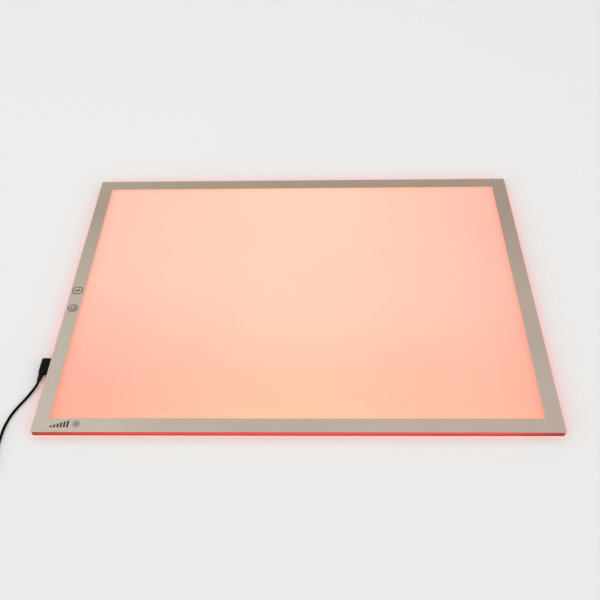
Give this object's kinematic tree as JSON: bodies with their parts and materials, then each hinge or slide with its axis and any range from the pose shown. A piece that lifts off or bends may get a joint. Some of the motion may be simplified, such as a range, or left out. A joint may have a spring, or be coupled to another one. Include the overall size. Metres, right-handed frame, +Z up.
{
  "type": "light box",
  "caption": "Thin edge-lit drawing panel with a flat bezel, a lit window, a glowing rim, touch keys, rubber feet and a pull-out right-angle power plug on a lead.",
  "frame": {"origin": "centre of the panel's footprint on the table, measured without the power lead", "axes": "+X along the panel's long side, away from the power socket; +Y away from the user; +Z up from the table through the lit window"},
  "size_m": [0.7549, 0.5506, 0.01],
  "materials": {
    "bezel": "satin warm silver with a fine straight grain",
    "window": "satin opal acrylic, lit from behind",
    "rim": "frosted translucent, glowing red",
    "optics": "clear polished acrylic with a printed dot pattern",
    "white_film": "matt white film",
    "cover": "fine matt texture",
    "adhesive": "matt black",
    "screw": "zinc plated",
    "foot": "matt moulded rubber",
    "heat_metal": "mill finish",
    "white_board": "white solder mask",
    "green_board": "green solder mask",
    "emitter": "moulded package with a clear lens",
    "chip": "moulded resin",
    "ferrite": "matt grey",
    "can": "drawn metal can",
    "header": "moulded nylon",
    "inner_lead": "flat ribbon",
    "foil": "copper foil",
    "foam": "conductive foam",
    "socket": "moulded black",
    "contact_metal": "nickel plated",
    "spring_metal": "spring strip",
    "plug": "black moulded vinyl, fine texture",
    "cord": "smooth black vinyl jacket",
    "tie": "black hook-and-loop strap",
    "shell": "nickel plated shell",
    "tongue": "white moulding",
    "gold": "gold flash"
  },
  "bodies": {
    "panel": {"bezel": "bezel", "window_sheet": "window", "side_frame": "rim", "back_cover": "cover", "bezel_tape": "adhesive", "diffuser_sheet": "white_film", "light_guide": "optics", "reflector_sheet": "white_film", "edge_reflector_left": "white_film", "edge_reflector_right": "white_film", "cover_screws": "screw", "foot_1": "foot", "foot_2": "foot", "foot_3": "foot", "foot_4": "foot", "foot_5": "foot", "foot_6": "foot", "heat_spreader_front": "heat_metal", "heat_spreader_rear": "heat_metal", "led_board_front": "white_board", "led_board_rear": "white_board", "leds_front": "emitter", "leds_rear": "emitter", "control_board": "green_board", "board_insulator": "adhesive", "controller_chip": "chip", "driver_transistors": "chip", "choke": "ferrite", "capacitors": "can", "led_header_front": "header", "led_header_rear": "header", "led_lead_front": "inner_lead", "led_lead_rear": "inner_lead", "touch_pad_mode": "foil", "touch_pad_power": "foil", "touch_post_mode": "foam", "touch_post_power": "foam", "dc_socket": "socket", "socket_pin": "contact_metal", "socket_spring": "spring_metal"},
    "power_plug": {"plug_body": "plug", "plug_strain_relief": "plug", "plug_barrel": "contact_metal", "plug_insulator": "adhesive", "plug_inner_contact": "contact_metal", "cord": "cord", "cord_coil": "cord", "cord_tail": "cord", "cord_tie": "tie", "usb_plug_body": "plug", "usb_strain_relief": "plug", "usb_plug_shell": "shell", "usb_tongue": "tongue", "usb_contacts": "gold"}
  },
  "joints": [
    {"name": "plug_pull", "type": "slide", "parent": "panel", "child": "power_plug", "axis": [-1, 0, 0], "range_m": [0, 0.012]}
  ]
}
